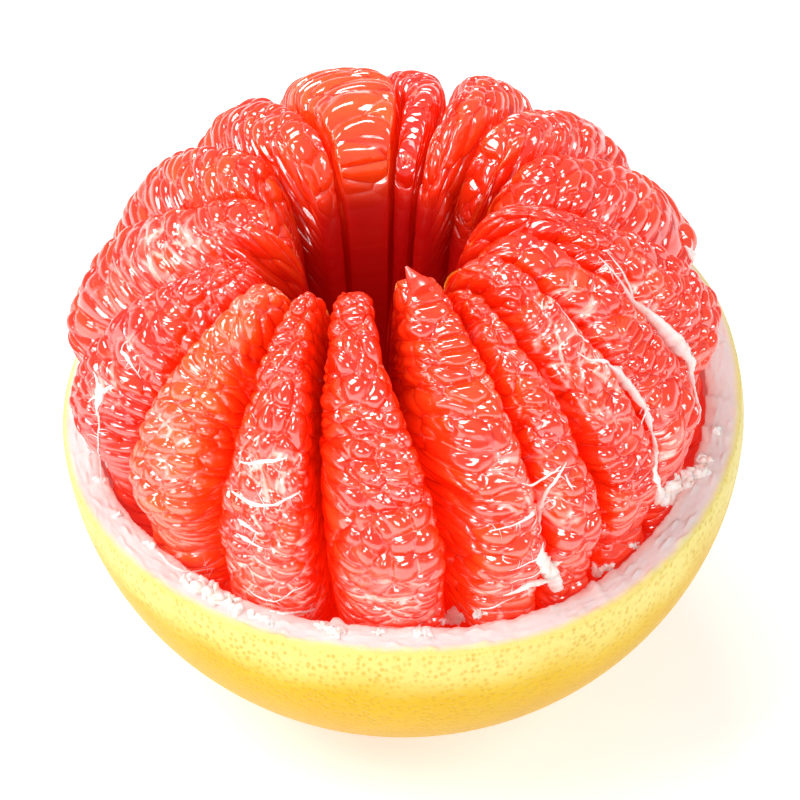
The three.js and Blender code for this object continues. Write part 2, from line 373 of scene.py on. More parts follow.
def evenRows(index):
    # values of along that lie evenly on the back's outline, and closer above the rim than below it, with
    # the distance and the number of sacs from the crown down to each
    form, _, rim = segmentWedge(index)
    fine = np.linspace(0, 1, 1200)
    radius, rise = outlineAt(mix(fleshForm["crownDirection"], fleshForm["footDirection"], fine), rim, form)
    steps = np.hypot(np.diff(radius), np.diff(rise))
    far = np.concatenate([[0], np.cumsum(steps)])
    low = smooth(0, segmentMesh["lowRise"] - 15, rise)
    weight = mix(1.0, segmentMesh["lowRowShare"], low)
    count = np.concatenate([[0], np.cumsum(steps * (weight[1:] + weight[:-1]) / 2)])
    wanted = np.linspace(0, count[-1], segmentMesh["rows"] + 2)[1:-1]
    along = np.interp(wanted, count, fine)
    below = mix(sacs["long"], sacs["lowLong"], lowShare(rise))
    sacLength = mix(sacs["crownLong"], below, smooth(4, 30, far))
    inSacs = np.concatenate([[0], np.cumsum(steps / sacLength[1:])])
    return along, np.interp(along, fine, far), np.interp(along, fine, inSacs)


def pulpName(index):
    return f"pulp_{index + 1:02d}"


def buildSegment(index):
    along, far, inSacs = evenRows(index)
    share = np.arange(segmentMesh["columns"]) / segmentMesh["columns"]
    column = lambda given: given[:, None]
    points, depth, fromBack, width, room, rise, radius = skinAt(index, column(along), share[None, :])
    crown = skinAt(index, np.array([[0.0]]), np.array([[0.0]]))[0][0, 0]
    foot = skinAt(index, np.array([[1.0]]), np.array([[0.0]]))[0][0, 0]
    mesh = closedMesh(pulpName(index), points, crown, foot)
    low = lowShare(rise)
    wide = mix(sacs["wide"], sacs["lowWide"], low)
    coord = np.stack([column(inSacs) + 0 * width, fromBack / sacs["deep"], width / wide], -1)
    coord = coord + sacs["apart"] * (index + 1)
    withEnds = lambda grid: np.concatenate([grid.reshape(-1, *grid.shape[2:]), grid[0, :1], grid[-1, :1]])
    setAttribute(mesh, "pulpCoord", withEnds(coord), "FLOAT_VECTOR")
    ends = np.minimum(1, np.minimum(far, far[-1] - far) / 6)
    length = np.maximum(fromBack + depth, 1e-6)
    toCore = smooth(0.62, 0.95, fromBack / length) * smooth(60, 45, radius) * smooth(4, 26, length)
    relief = np.minimum(sacs["relief"], 0.3 * room) * column(ends) * mix(1, sacs["coreRelief"], toCore)
    relief = relief * mix(1, sacs["lowRelief"], low)
    setAttribute(mesh, "relief", withEnds(relief) * millimetre)
    # painted shade: the hollow's wall turns dark red on the way in, and the ends that face it sooner
    inward = np.maximum(smooth(52, 22, radius) * smooth(70, 36, rise), toCore * smooth(76, 58, rise))
    setAttribute(mesh, "inward", withEnds(inward))
    setAttribute(mesh, "calm", withEnds(np.maximum(toCore, 0.35 * low)))
    setAttribute(mesh, "tint", np.full(len(mesh.vertices), segmentTints[index]))
    return mesh


# pulp relief in Geometry Nodes

def groupTree(name, inputs):
    tree = bpy.data.node_groups.new(name, "GeometryNodeTree")
    net = Net(tree)
    tree.interface.new_socket("Geometry", in_out="INPUT", socket_type="NodeSocketGeometry")
    for label, start in inputs.items():
        made = tree.interface.new_socket(label, in_out="INPUT", socket_type="NodeSocketFloat")
        made.default_value = start
    tree.interface.new_socket("Geometry", in_out="OUTPUT", socket_type="NodeSocketGeometry")
    return net, net.node("NodeGroupInput")


def finishGroup(net, geometry, material):
    smoothed = net.value("GeometryNodeSetShadeSmooth", {}, {"Geometry": geometry})
    realized = net.value("GeometryNodeRealizeInstances", {}, {"Geometry": smoothed})
    painted = net.value("GeometryNodeSetMaterial", {}, {"Geometry": realized, "Material": material})
    net.feed(net.node("NodeGroupOutput").inputs[0], painted)
    return net.tree


def sacDome(net, coord):
    # the height of a rounded sac over its cell, from 1 at the middle down to the crease, the cell itself,
    # and how far its edge is
    cell = net.cells(coord, 1.0, "F1", sacs["randomness"])
    edge = net.output(net.cells(coord, 1.0, "DISTANCE_TO_EDGE", sacs["randomness"]), "Distance")
    rim = 1.0 - net.sum("MINIMUM", edge * 3.2, 1.0)
    far = net.output(cell, "Distance")
    return 1.0 - far * far * 1.4 - rim * rim * 0.4, cell, edge


# how far the sacs rise, their rows wander finely and broadly, and they tilt and sink at random
sacRelief = {"Relief": 1.0, "Warp": 0.6, "Swell": 3.0, "Tilt": 0.4, "Uneven": 0.2}


def makeReliefTree(material):
    net, entry = groupTree("pulpRelief", sacRelief)
    given = lambda name: net.output(entry, name)
    plain = net.named("pulpCoord", "FLOAT_VECTOR")
    stir = net.grain(plain, 0.6, 1.0, "Color") - (0.5, 0.5, 0.5)
    swell = net.grain(plain + (5.1, 2.7, 8.3), 0.16, 0.0, "Color") - (0.5, 0.5, 0.5)
    coord = plain + net.scaled(stir, given("Warp")) + net.scaled(swell, given("Swell"))
    dome, cell, _ = sacDome(net, coord)
    chance = net.output(cell, "Color")
    fromMiddle = coord - net.output(cell, "Position")
    tilt = net.dot(chance - (0.5, 0.5, 0.5), fromMiddle)
    slack = net.step(0.25, 0.6, net.grain(coord, 0.3, 2.0)) * 0.6 + 0.4
    height = (dome - 1.0) * slack + tilt * given("Tilt")
    height = height - net.along(chance, "X") * given("Uneven")
    deep = height * given("Relief") * net.named("relief")
    normal = net.value("GeometryNodeInputNormal")
    settings = {"data_type": "FLOAT_VECTOR", "domain": "POINT"}
    stored = net.value("GeometryNodeStoreNamedAttribute", settings,
                       {"Geometry": given("Geometry"), "Name": "sacCoord", "Value": coord})
    offset = net.scaled(normal, deep)
    moved = net.value("GeometryNodeSetPosition", {}, {"Geometry": stored, "Offset": offset})
    return finishGroup(net, moved, material)


def shapeByNodes(obj, tree, settings):
    # runs the tree on the object and keeps the result as a plain mesh
    modifier = obj.modifiers.new("shape", "NODES")
    modifier.node_group = tree
    for socket in tree.interface.items_tree:
        if socket.in_out == "INPUT" and socket.name in settings:
            modifier[socket.identifier] = settings[socket.name]
    bpy.context.view_layer.update()
    evaluated = obj.evaluated_get(bpy.context.evaluated_depsgraph_get())
    result = bpy.data.meshes.new_from_object(evaluated)
    old = obj.data
    obj.modifiers.remove(modifier)
    obj.data = result
    result.name = old.name
    bpy.data.meshes.remove(old)


def addObject(name, data):
    obj = bpy.data.objects.new(name, data)
    bpy.context.scene.collection.objects.link(obj)
    return obj


def newMaterial(name):
    material = bpy.data.materials.new(name)
    material.use_nodes = True
    return material, Net(material.node_tree)


def finishMaterial(net, shader):
    net.feed(net.node("ShaderNodeOutputMaterial").inputs["Surface"], net.output(shader))


# materials

pulpFinish = {
    "deepRed": (0.60, 0.008, 0.002), "red": (0.86, 0.036, 0.006), "orange": (0.98, 0.14, 0.014),
    "pale": (0.97, 0.42, 0.30), "fibre": (0.97, 0.72, 0.62),
    # painted shade: dark red in the creases between sacs, and deep red in the hollow round the core
    "paintedCreaseShade": (0.50, 0.0, 0.0), "core": (0.42, 0.0, 0.0),
    "edgeWidth": 0.06,  # of the line between two sacs, as a share of a sac
    # painted glow: the pulp shines red as if lit through, and less in the hollow's painted shade
    "paintedGlow": (1.0, 0.014, 0.0), "paintedHollowGlow": (0.32, 0.0, 0.0), "paintedGlowStrength": 0.21,
    "roughness": 0.07, "refraction": 2.3, "bump": 0.7, "bumpDepth": 0.0013,
    "softness": 0.75, "spread": (1.0, 0.2, 0.1), "depth": 0.008,  # how light goes through it
}


def makePulp():
    material, net = newMaterial("wet pulp")
    coord = net.attribute("sacCoord", "Vector")
    tint, inward, calm, veil = (net.attribute(name) for name in ("tint", "inward", "calm", "veil"))
    lively = 1.0 - calm
    dome, cell, edge = sacDome(net, coord)
    chance = net.value("ShaderNodeSeparateColor", {}, {0: net.output(cell, "Color")}, 0)
    cloud = net.grain(coord, 0.7, 2.0)
    fleck = net.grain(coord, 3.0, 3.0)
    hue = tint + (chance - 0.5) * 0.3 * lively + (cloud - 0.5) * 0.6
    stops = [(0.0, pulpFinish["deepRed"]), (0.4, pulpFinish["red"]), (1.0, pulpFinish["orange"])]
    body = net.value("ShaderNodeValToRGB", {"stops": stops}, {0: hue}, "Color")
    # between the sacs runs a pale skin in some places, and in the rest a dark line of painted shade in the
    # crease
    line = net.step(pulpFinish["edgeWidth"], 0.0, edge + (fleck - 0.5) * 0.05) * lively
    where = net.step(0.45, 0.62, net.grain(coord, 0.6, 2.0))
    body = net.blend(line * where * net.step(0.42, 0.6, fleck) * 0.8, body, pulpFinish["pale"])
    body = net.blend(line * (1.0 - where) * 0.75, body, pulpFinish["paintedCreaseShade"])
    # whitish threads and a thin film lie over the veiled places
    strayed = net.grain(coord * (1.5, 1.0, 0.6), 0.9, 1.5, Distortion=0.8)
    thread = net.step(0.03, 0.0, net.sum("ABSOLUTE", strayed - 0.5, 0.0)) * net.step(0.5, 0.62, fleck)
    veiled = net.step(0.2, 0.65, veil + (net.grain(coord, 0.9, 2.0) - 0.5) * 1.1)
    broken = net.step(0.4, 0.55, net.grain(coord, 1.7, 2.0))
    wisps = net.most(thread, net.step(0.12, 0.02, edge + (fleck - 0.5) * 0.12) * broken) * veiled
    film = net.step(0.5, 0.75, net.grain(coord, 1.0, 2.0)) * veiled * 0.3
    body = net.blend(net.most(wisps * 0.9, film), body, pulpFinish["fibre"])
    # painted shade: the hollow's wall darkens to deep red
    body = net.blend(inward * 0.97, body, pulpFinish["core"])
    # painted glow, dimmed to a painted shade in the hollow
    paintedGlow = net.blend(inward, pulpFinish["paintedGlow"], pulpFinish["paintedHollowGlow"])
    ripple = net.grain(coord, 1.3, 1.0)
    height = (dome + ripple * 0.3 + wisps * 0.12) * lively
    finishMaterial(net, net.fleshy({
        "Base Color": body, "Roughness": pulpFinish["roughness"] + calm * 0.2 + wisps * 0.2,
        "IOR": pulpFinish["refraction"],  # high, for highlights as crisp as on wet skin
        "Normal": net.bump(height, pulpFinish["bump"], pulpFinish["bumpDepth"]),
        "Subsurface Weight": pulpFinish["softness"], "Subsurface Radius": pulpFinish["spread"],
        "Subsurface Scale": pulpFinish["depth"],
        "Emission Color": paintedGlow, "Emission Strength": pulpFinish["paintedGlowStrength"]}))
    return material


# how orange each segment is, from the front anticlockwise
segmentTints = [
    0.42, 0.5, 0.45, 0.42, 0.42, 0.4, 0.42, 0.45, 0.5, 0.2, 0.75, 0.5, 0.5, 0.45, 0.3, 0.75, 0.45,
]

pulp = makePulp()
reliefTree = makeReliefTree(pulp)
pieces = {}
for index in range(len(segmentForms)):
    piece = addObject(pulpName(index), buildSegment(index))
    shapeByNodes(piece, reliefTree, sacRelief)
    pieces[piece.name] = (piece, f"segment_{index + 1:02d}", "flesh")
print("segments shaped:", sum(len(piece.data.polygons) for piece, _, _ in pieces.values()), "faces")


# peel

peelMesh = {
    "columns": 640, "outerRows": 90, "rimRows": 22, "innerRows": 18,
    "gather": 0.85,  # the outer rows gather towards the rim
    "shoulder": 0.6, "tear": 0.9, "crumb": 0.55, "fray": 0.5,  # millimetres at the cut rim
}


def buildPeel():
    columns = peelMesh["columns"]
    azimuth = np.arange(columns) / columns * 360
    turn = np.radians(azimuth)
    rim = rimRiseAt(azimuth)
    halfHeight, radius = peelForm["halfHeight"], peelForm["radius"]
    innerHalfHeight = halfHeight - peelForm["rindAtBase"]
    innerRadius = radius - peelForm["rindAtRim"]
    shoulder, tear = peelMesh["shoulder"], peelMesh["tear"]
    low, high = math.asin(-peelForm["middleHeight"] / halfHeight), np.arcsin((rim - shoulder) / halfHeight)
    rings, across = [], []
    for row in range(peelMesh["outerRows"] + 1):
        rise = halfHeight * np.sin(mix(low, high, (row / peelMesh["outerRows"]) ** peelMesh["gather"]))
        rings.append((wallRadius(radius, halfHeight, rise), rise))
        across.append(row / peelMesh["outerRows"] - 1)
    outerEdge = rings[-1]
    innerRise = rim + shoulder + tearRound(azimuth, 0.0) * tear
    innerEdge = (wallRadius(innerRadius, innerHalfHeight, innerRise), innerRise)
    for row in range(1, peelMesh["rimRows"] + 1):
        share = row / (peelMesh["rimRows"] + 1)
        crumb = tearRound(azimuth, 3.0 * share + 1) * peelMesh["crumb"] * math.sin(math.pi * share) ** 0.5
        swell = shoulder * (1 - (2 * share - 1) ** 4)
        rise = mix(outerEdge[1], innerEdge[1], share) + swell + crumb
        rings.append((mix(outerEdge[0], innerEdge[0], share), rise))
        across.append(share)
    for row in range(peelMesh["innerRows"]):
        angle = mix(np.arcsin(innerRise / innerHalfHeight), -math.pi / 2, row / peelMesh["innerRows"])
        rise = innerHalfHeight * np.sin(angle)
        fray = tearRound(azimuth, 9.0) * peelMesh["fray"] * (row == 0)
        rings.append((wallRadius(innerRadius, innerHalfHeight, rise) + fray, rise))
        across.append(1 + row / peelMesh["innerRows"])
    rows = np.stack([np.stack([r * np.cos(turn), r * np.sin(turn), peelForm["middleHeight"] + z], -1)
                     for r, z in rings])
    # the rings are turned round, to run from the floor inside to the spot it rests on, so its faces point
    # outwards
    mesh = closedMesh("peel", rows[::-1], (0, 0, peelForm["middleHeight"] - innerHalfHeight), (0, 0, 0))
    values = np.repeat(np.array(across[::-1])[:, None], columns, 1).ravel()
    setAttribute(mesh, "across", np.concatenate([values, [2.0, -1.0]]))
    return mesh


def tearRound(azimuth, layer):
    return np.array([tearAt(angle, layer) for angle in azimuth])


def tearAt(azimuth, layer):
    # how far torn pith stands up, from about -1 to 2
    turn = math.radians(azimuth)
    place = Vector((math.cos(turn), math.sin(turn), layer * 0.13))
    spikes = max(0, noise.noise(place * 19 + Vector((7, 3, 1))) - 0.22) * 4.5
    waves = noise.noise(place * 9) * 0.6 + noise.noise(place * 26) * 0.5 + noise.noise(place * 70) * 0.45
    return waves + spikes


peelFinish = {
    "yellow": (0.77, 0.51, 0.004), "warmYellow": (0.75, 0.42, 0.002), "paleYellow": (0.88, 0.77, 0.26),
    # the deep yellow low on the fruit is painted shade
    "shadedYellowBelow": (0.66, 0.34, 0.0), "gland": (0.70, 0.38, 0.004),
    "pith": (0.73, 0.635, 0.62), "pithShade": (0.80, 0.48, 0.44),
    "glandSpacing": 0.0013, "glandHeight": 0.65,  # glands are a little taller than wide
    "rindRoughness": 0.34, "pithRoughness": 0.79, "refraction": 1.15, "wax": 0.06,
    # the pith's glow is painted light
    "paintedPithGlow": (0.10, 0.065, 0.06), "bump": 0.5, "bumpDepth": 0.0005,
    "softness": 0.25, "spread": (1.0, 0.8, 0.5), "depth": 0.002,  # how light goes through it
}


def makePeel():
    material, net = newMaterial("rind and pith")
    place = net.value("ShaderNodeTexCoord", {}, {}, "Object")
    across = net.attribute("across")
    height = net.along(place, "Z")
    tall = place * (1.0, 1.0, peelFinish["glandHeight"])
    glands = net.output(net.cells(tall, 1 / peelFinish["glandSpacing"], "F1", 0.75), "Distance")
    tiny = net.output(net.cells(tall, 1.9 / peelFinish["glandSpacing"]), "Distance")
    cloud = net.grain(place, 45.0, 3.0)
    blotch = net.grain(place, 160.0, 3.0)
    byRim = net.step(-0.02, 0.06, across)
    pit = net.step(0.52, 0.12, glands) * (1.0 - byRim) * (net.step(0.3, 0.6, blotch) * 0.4 + 0.6)
    speck = net.step(0.4, 0.1, tiny)
    # deeper yellow below as painted shade, warmer in patches and paler under the rim
    high = net.step(0.02, 0.08, height + (cloud - 0.5) * 0.03)
    rind = net.blend(high, peelFinish["shadedYellowBelow"], peelFinish["yellow"])
    warm = net.step(0.5, 0.7, net.grain(place, 28.0, 4.0)) * 0.7
    rind = net.blend(warm, rind, peelFinish["warmYellow"])
    pale = net.step(-0.2, -0.02, across + (cloud - 0.5) * 0.2) * 0.85
    rind = net.blend(pale, rind, peelFinish["paleYellow"])
    rind = net.blend(pit * 0.6, rind, peelFinish["gland"])
    rind = net.blend(speck * 0.25, rind, peelFinish["yellow"])
    # painted shade, pinker towards the segments
    inside = net.step(0.6, 1.02, across + (blotch - 0.5) * 0.4)
    pith = net.blend(inside, peelFinish["pith"], peelFinish["pithShade"])
    # at the front the rind comes a little further over the rim
    front = net.step(-0.045, -0.07, net.along(place, "Y"))
    isPith = net.step(-0.03, 0.26, across - front * 0.1 + (net.grain(place, 300.0, 2.0) - 0.5) * 0.1)
    rindHeight = 0.0 - pit * 0.8 - speck * 0.25 + cloud * 0.6
    bumps = (1.0 - isPith) * rindHeight + isPith * net.grain(place, 900.0, 4.0) * 0.6
    rougher = peelFinish["pithRoughness"] - peelFinish["rindRoughness"]
    finishMaterial(net, net.fleshy({
        "Base Color": net.blend(isPith, rind, pith),
        "Roughness": peelFinish["rindRoughness"] + isPith * rougher,
        "Normal": net.bump(bumps, peelFinish["bump"], peelFinish["bumpDepth"]),
        # painted glow on the pith
        "Emission Color": net.blend(isPith, (0.0, 0.0, 0.0), peelFinish["paintedPithGlow"]),
        "Emission Strength": 1.0,
        "Subsurface Weight": peelFinish["softness"], "Subsurface Radius": peelFinish["spread"],
        "Subsurface Scale": peelFinish["depth"],
        "IOR": peelFinish["refraction"], "Coat Weight": (1.0 - isPith) * peelFinish["wax"],
        "Coat Roughness": 0.2}))
    return material


peel = addObject("rind", buildPeel())
peel.data.materials.append(makePeel())
pieces[peel.name] = (peel, "peel", "peel")
print("peel shaped:", len(peel.data.polygons), "faces")


# membrane, fibres and torn pith that cling to the segments

# each strand is a row of places in the photograph, in pixels from its upper left corner, with the strand's
# width there in the same pixels
strands = {
    "fiveAndSix": [
        (598, 256, 1), (612, 270, 2), (622, 283, 3), (632, 301, 5), (641, 308, 7), (650, 315, 8),
        (660, 325, 10), (668, 334, 12), (676, 343, 14), (683, 351, 12), (688, 357, 7), (693, 364, 9),
        (690, 373, 6), (694, 383, 7), (697, 392, 6), (698, 401, 5), (700, 411, 4), (697, 424, 2)],
    "fiveAndSixWisps": [(606, 250, 1), (620, 268, 2), (630, 286, 3), (634, 303, 3)],
    "fourAndFive": [
        (577, 352, 1), (590, 361, 3), (604, 361, 5), (611, 365, 8), (617, 372, 9), (625, 381, 9),
        (633, 391, 8), (641, 402, 7), (646, 409, 4), (649, 419, 7), (651, 430, 3), (654, 438, 4),
        (656, 448, 6), (658, 457, 6), (653, 470, 8), (656, 480, 9), (659, 489, 6), (660, 497, 9),
        (662, 506, 2)],
    "fourAndFiveLoop": [(640, 414, 2), (643, 405, 2), (650, 403, 2), (648, 412, 2), (641, 424, 2)],
    "fourCrown": [
        (556, 303, 1), (566, 312, 2), (572, 322, 2), (577, 335, 2), (588, 342, 3), (600, 352, 2)],
    "lobeRay": [(540, 505, 6), (542, 497, 5), (548, 489, 4), (556, 480, 4), (562, 470, 3), (566, 462, 1)],
    "lobeLoop": [
        (522, 483, 1), (530, 487, 3), (537, 487, 3), (541, 480, 3), (551, 474, 3), (561, 466, 2)],
    "lobeLeft": [(538, 503, 6), (533, 513, 5), (524, 520, 3), (511, 526, 2), (490, 531, 2)],
    "lobeDown": [(538, 504, 7), (540, 514, 5), (540, 524, 2), (538, 534, 1)],
    "lobeRight": [(541, 507, 4), (548, 501, 2), (556, 498, 3), (557, 506, 2), (549, 509, 1)],
    "lobeStray": [(565, 474, 2), (569, 484, 3), (573, 490, 1)],
    "tuftUp": [
        (543, 542, 1), (541, 549, 5), (540, 557, 10), (544, 565, 14), (550, 572, 15), (554, 580, 12),
        (557, 589, 10)],
    "tuftRight": [(545, 566, 9), (553, 564, 8), (562, 561, 3)],
    "tuftLeft": [(540, 556, 6), (534, 560, 3), (521, 567, 2), (509, 570, 1)],
    "tuftSweep": [(551, 580, 5), (538, 579, 8), (526, 585, 7), (514, 592, 5), (503, 595, 2)],
    "tuftThread": [(540, 570, 3), (524, 578, 2), (510, 583, 1)],
    "footSweep": [(480, 608, 2), (494, 607, 3), (505, 601, 3), (515, 596, 1)],
    "leftStar": [
        (94, 372, 2), (98, 383, 4), (101, 392, 9), (99, 400, 8), (97, 408, 4), (99, 418, 3),
        (99, 440, 2), (99, 470, 2), (101, 484, 1)],
    "leftStarArms": [(88, 402, 1), (95, 398, 4), (103, 392, 6), (112, 385, 2)],
    "leftWisp": [(110, 357, 1), (121, 351, 4), (128, 357, 5), (134, 368, 2), (141, 378, 1)],
    "leftWispUp": [(123, 355, 3), (121, 346, 2), (128, 341, 1)],
    "rightTuft": [(684, 246, 2), (688, 252, 8), (693, 257, 10), (697, 264, 3)],
    "rightTuftUp": [(690, 254, 6), (693, 246, 3), (691, 239, 1)],
    "seventeenBand": [(240, 461, 2), (252, 464, 4), (262, 461, 5), (274, 461, 4), (286, 458, 2)],
    "seventeenLow": [
        (232, 491, 2), (243, 499, 4), (255, 505, 5), (270, 506, 3), (284, 500, 4), (300, 491, 2)],
    "seventeenSlip": [(238, 519, 2), (246, 525, 5), (255, 531, 3), (262, 534, 1)],
    "seventeenSlipLow": [(238, 534, 1), (247, 540, 5), (257, 545, 3), (268, 548, 1)],
    "seventeenFoot": [(243, 585, 1), (252, 593, 3), (262, 598, 4), (272, 602, 3), (281, 599, 1)],
    "seventeenFootLow": [
        (258, 604, 2), (270, 611, 4), (284, 615, 5), (299, 615, 4), (314, 609, 3), (326, 602, 1)],
    "seventeenFootUp": [(281, 600, 1), (290, 592, 3), (300, 587, 2), (310, 582, 1)],
    "sixteenFoot": [
        (150, 538, 2), (159, 553, 4), (171, 566, 4), (187, 573, 3), (203, 574, 2), (214, 568, 1)],
}
# places with a veil of whitish threads between the sacs: place in the photograph, radius in millimetres
# and strength
veils = [
    (270, 480, 9, 0.9), (262, 510, 8, 0.9), (280, 545, 8, 0.6), (270, 590, 11, 1.0), (300, 612, 9, 0.9),
    (395, 610, 12, 0.7), (360, 600, 8, 0.6), (500, 600, 10, 0.9), (520, 485, 9, 0.8),
    (545, 500, 8, 0.8), (560, 395, 8, 0.7), (580, 345, 11, 0.9), (560, 300, 8, 0.7), (640, 290, 8, 0.8),
    (655, 440, 8, 0.8), (610, 390, 8, 0.7), (100, 390, 6, 0.8), (120, 350, 7, 0.5), (165, 425, 7, 0.7),
    (165, 470, 7, 0.5), (150, 255, 12, 0.8), (190, 245, 9, 0.7), (115, 290, 9, 0.5), (245, 295, 9, 0.5),
    (230, 320, 7, 0.5), (560, 150, 12, 0.5), (620, 200, 10, 0.4), (470, 330, 7, 0.4),
    (450, 570, 8, 0.4), (190, 560, 7, 0.6),
]
# torn pith on the rim: place in the photograph and size in millimetres
tornPlaces = [
    (190, 580, 1.2), (195, 585, 1.6), (200, 590, 1.5), (205, 588, 1.1), (211, 594, 1.5),
    (218, 596, 1.3), (224, 599, 1.6), (230, 600, 1.3), (236, 609, 1.1), (257, 617, 1.1),
    (270, 622, 0.8), (323, 627, 0.9), (333, 630, 1.1), (342, 631, 0.9), (380, 633, 0.7),
    (422, 632, 1.1), (447, 620, 1.2), (454, 616, 1.7), (460, 619, 1.2), (478, 614, 0.9),
    (600, 571, 1.1), (608, 567, 0.8), (636, 545, 0.9), (667, 496, 1.6), (676, 488, 1.9),
    (684, 482, 1.9), (690, 477, 1.5), (699, 471, 1.3), (705, 460, 1.1), (716, 430, 0.9),
    (150, 545, 0.8), (120, 515, 0.7), (100, 480, 0.8), (90, 452, 0.6),
]
clinging = {
    "step": 0.6, "lift": 0.12,  # millimetres between a path's points, and above the sacs
    "jump": 3.5,  # millimetres; a place that lies deeper than this behind its neighbours is left out
    # broad strands stand up and are seen from their edge
    "thinning": 0.75, "broadFrom": 4.0, "broadening": 0.9,
    "fibresFrom": 4, "fibres": 0.55,  # pixels of width, and fibres for each millimetre of such a strand
    "fibreReach": 4.5, "fibreWidth": 0.12, "fibreStep": 0.8,  # millimetres
    "crumbs": 7, "spread": 1.2, "sunk": 0.15,  # for each torn place, and shares of its size
    "seed": 41,
}
ribbonShape = {"Sides": 8.0, "Flatness": 0.4, "Ragged": 0.55}
crumbShape = {"Rough": 0.55, "Detail": 2.0}
pixelSize = 2 * peelForm["radius"] / 680  # millimetres; the peel is 680 pixels across in the photograph


class Surface:
    # the dressed pieces as one surface to lay things on
    def __init__(self, objects):
        vertices, faces = [], []
        for obj in objects:
            start = len(vertices)
            vertices.extend(map(tuple, pointsOf(obj.data)))
            faces.extend([tuple(start + corner for corner in face.vertices) for face in obj.data.polygons])
        self.tree = BVHTree.FromPolygons(vertices, faces)
        tilt = math.radians(view["elevation"])
        self.ahead = Vector((0, math.cos(tilt), -math.sin(tilt)))
        self.up = Vector((0, math.sin(tilt), math.cos(tilt)))
        self.eye = Vector((0, 0, peelForm["middleHeight"] * millimetre)) - self.ahead * view["distance"]

    def under(self, across, down):
        # where the photograph shows this place
        middle = view["pixels"] / 2
        right = (across - middle) / view["pixels"] + view["shiftX"]
        rise = (middle - down) / view["pixels"] + view["shiftY"]
        ray = self.ahead * view["lens"] + (Vector((1, 0, 0)) * right + self.up * rise) * view["sensor"]
        place, normal, _, _ = self.tree.ray_cast(self.eye, ray.normalized())
        return place, normal

    def together(self, hits):
        # without the places that lie deep in a groove behind the ones beside them
        depths = [(place - self.eye).dot(self.ahead) for place, _ in hits]
        beside = [min(depths[max(i - 1, 0):i] + depths[i + 1:i + 2]) for i in range(len(depths))]
        jump = clinging["jump"] * millimetre
        return [hit for hit, depth, near in zip(hits, depths, beside) if depth - near < jump]

    def near(self, place):
        found, normal, _, _ = self.tree.find_nearest(place)
        return found, normal


def pointsOf(mesh):
    points = np.zeros(len(mesh.vertices) * 3)
    mesh.vertices.foreach_get("co", points)
    return points.reshape(-1, 3)


class Paths:
    # polylines with a width and the surface's normal at each point, for Geometry Nodes to make into ribbons
    def __init__(self, surface):
        self.surface = surface
        self.points, self.edges, self.widths, self.normals = [], [], [], []

    def lay(self, places, widths, bridging=True):
        # an even, smooth path through the places that never sinks into the surface
        places = np.array([tuple(place) for place in places])
        gaps = np.linalg.norm(np.diff(places, axis=0), axis=1)
        far = np.concatenate([[0], np.cumsum(gaps)])
        count = max(5, int(far[-1] / millimetre / clinging["step"]))
        wanted = np.linspace(0, far[-1], count)
        even = np.stack([np.interp(wanted, far, places[:, axis]) for axis in range(3)], -1)
        for _ in range(5):
            even[1:-1] = (even[:-2] + even[1:-1] * 2 + even[2:]) / 4
        lift = clinging["lift"] * millimetre
        laid = []
        for place in map(Vector, even):
            found, normal = self.surface.near(place)
            above = (place - found).dot(normal)
            raised = place + normal * max(0, lift - above)
            laid.append((raised if bridging else found + normal * lift, normal))
        start = len(self.points)
        self.points.extend(tuple(place) for place, _ in laid)
        self.normals.extend(tuple(normal) for _, normal in laid)
        self.widths.extend(np.interp(wanted, far, widths))
        self.edges.extend((start + i, start + i + 1) for i in range(count - 1))
        return laid

    def mesh(self, name):
        mesh = bpy.data.meshes.new(name)
        mesh.from_pydata(self.points, self.edges, [])
        setAttribute(mesh, "halfWidth", self.widths)
        setAttribute(mesh, "pathPlace", self.points, "FLOAT_VECTOR")
        setAttribute(mesh, "pathNormal", self.normals, "FLOAT_VECTOR")
        return mesh


def addFibre(paths, place, heading, reach, width, draw):
    # a hair of membrane that wanders over the surface from a place
    places, here = [place], place
    for _ in range(max(3, int(reach / clinging["fibreStep"]))):
        found, normal = paths.surface.near(here)
        heading = (heading - normal * heading.dot(normal)).normalized()
        heading = (heading + normal.cross(heading) * draw.uniform(-0.4, 0.4)).normalized()
        here = found + heading * clinging["fibreStep"] * millimetre
        places.append(here)
    thin = np.linspace(1, 0.15, len(places)) * width * millimetre
    paths.lay(places, thin, False)


def halfWidth(pixels):
    # metres, for a strand that the photograph shows this wide
    wide = pixels * clinging["thinning"] + max(0, pixels - clinging["broadFrom"]) * clinging["broadening"]
    return wide / 2 * pixelSize * millimetre


def layStrands(surface):
    draw = random.Random(clinging["seed"])
    paths = Paths(surface)
    for row in strands.values():
        hits = [(surface.under(x, y)[0], halfWidth(width)) for x, y, width in row]
        hits = surface.together([(place, width) for place, width in hits if place])
        laid = paths.lay([place for place, _ in hits], [width for _, width in hits])
        if max(width for _, _, width in row) < clinging["fibresFrom"]:
            continue
        for _ in range(int(len(laid) * clinging["step"] * clinging["fibres"])):
            index = draw.randrange(len(laid) - 1)
            place, normal = laid[index]
            ahead = (laid[index + 1][0] - place).normalized()
            heading = ahead * draw.uniform(-1.2, 1.2) + normal.cross(ahead) * draw.choice((-1, 1))
            addFibre(paths, place, heading, clinging["fibreReach"] * draw.uniform(0.3, 1),
                     clinging["fibreWidth"] * draw.uniform(0.5, 1.2), draw)
    return paths.mesh("membrane")


